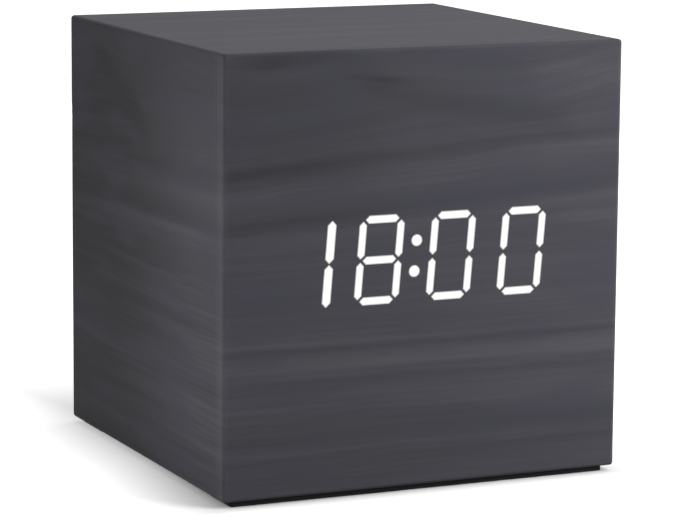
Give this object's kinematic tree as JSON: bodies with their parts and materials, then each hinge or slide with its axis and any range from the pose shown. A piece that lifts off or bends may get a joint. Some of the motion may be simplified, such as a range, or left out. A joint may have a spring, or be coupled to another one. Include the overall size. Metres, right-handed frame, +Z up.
{
  "type": "digital led desk clock",
  "caption": "Cube-shaped digital desk clock: white seven-segment digits glow through the dark wood-grain film of its front; a battery door and push buttons are at the back.",
  "frame": {"origin": "centre of the underside of the foot strips, in the middle of the cube's width and depth", "axes": "+X to the right seen from the front, -Y out of the front with the display, +Z up"},
  "size_m": [0.06, 0.06, 0.0616],
  "materials": {
    "film": "wood-grain print, satin",
    "glow": "light shining through the film",
    "fibreboard": "raw fibreboard",
    "rubber": "matt",
    "white_plastic": "moulded",
    "resin": "milky resin",
    "led": "phosphor",
    "board": "solder mask",
    "steel": "plated",
    "black_plastic": "fine moulded texture",
    "button": "satin",
    "chip": "moulded",
    "tin": "drawn can",
    "sleeve": "shrink sleeve",
    "bead": "epoxy",
    "cell": "wrapped can",
    "nickel": "nickel-plated",
    "brass": "bright",
    "ribbon": "flat cable",
    "red_wire": "insulated",
    "black_wire": "insulated"
  },
  "bodies": {
    "clock": {"wood_film": "film", "lit_segments": "glow", "front_board": "fibreboard", "top_board": "fibreboard", "right_board": "fibreboard", "bottom_board": "fibreboard", "left_board": "fibreboard", "corner_blocks": "fibreboard", "foot_strips": "rubber", "display_housing": "white_plastic", "segment_diffusers": "resin", "led_chips": "led", "main_board": "board", "board_spacers": "white_plastic", "board_screws": "steel", "controller_chip": "chip", "clock_crystal": "tin", "buzzer": "chip", "microphone": "tin", "capacitor": "sleeve", "temperature_sensor": "bead", "battery_connector": "white_plastic", "button_connector": "white_plastic", "rear_cover": "black_plastic", "cover_screws": "steel", "bottom_cell": "cell", "middle_cell": "cell", "top_cell": "cell", "negative_terminal": "nickel", "positive_terminal": "nickel", "left_bridge": "nickel", "right_bridge": "nickel", "button_board": "board", "button_board_screws": "steel", "switch_bodies": "chip", "power_jack": "chip", "jack_pin": "brass", "button_ribbon": "ribbon", "red_lead": "red_wire", "black_lead": "black_wire"},
    "battery_door": {"battery_door": "black_plastic"},
    "set_button": {"set_button": "button", "set_plunger": "chip"},
    "up_button": {"up_button": "button", "up_plunger": "chip"},
    "down_button": {"down_button": "button", "down_plunger": "chip"}
  },
  "joints": [
    {"name": "door_hinge", "type": "hinge", "parent": "clock", "child": "battery_door", "pos_m": [0, 0.0288, 0.00995], "axis": [-1, 0, 0], "range_deg": [0, 80]},
    {"name": "set_press", "type": "slide", "parent": "clock", "child": "set_button", "axis": [0, -1, 0], "range_m": [0, 0.0004], "stiffness_N_per_m": 3000},
    {"name": "up_press", "type": "slide", "parent": "clock", "child": "up_button", "axis": [0, -1, 0], "range_m": [0, 0.0004], "stiffness_N_per_m": 3000},
    {"name": "down_press", "type": "slide", "parent": "clock", "child": "down_button", "axis": [0, -1, 0], "range_m": [0, 0.0004], "stiffness_N_per_m": 3000}
  ]
}
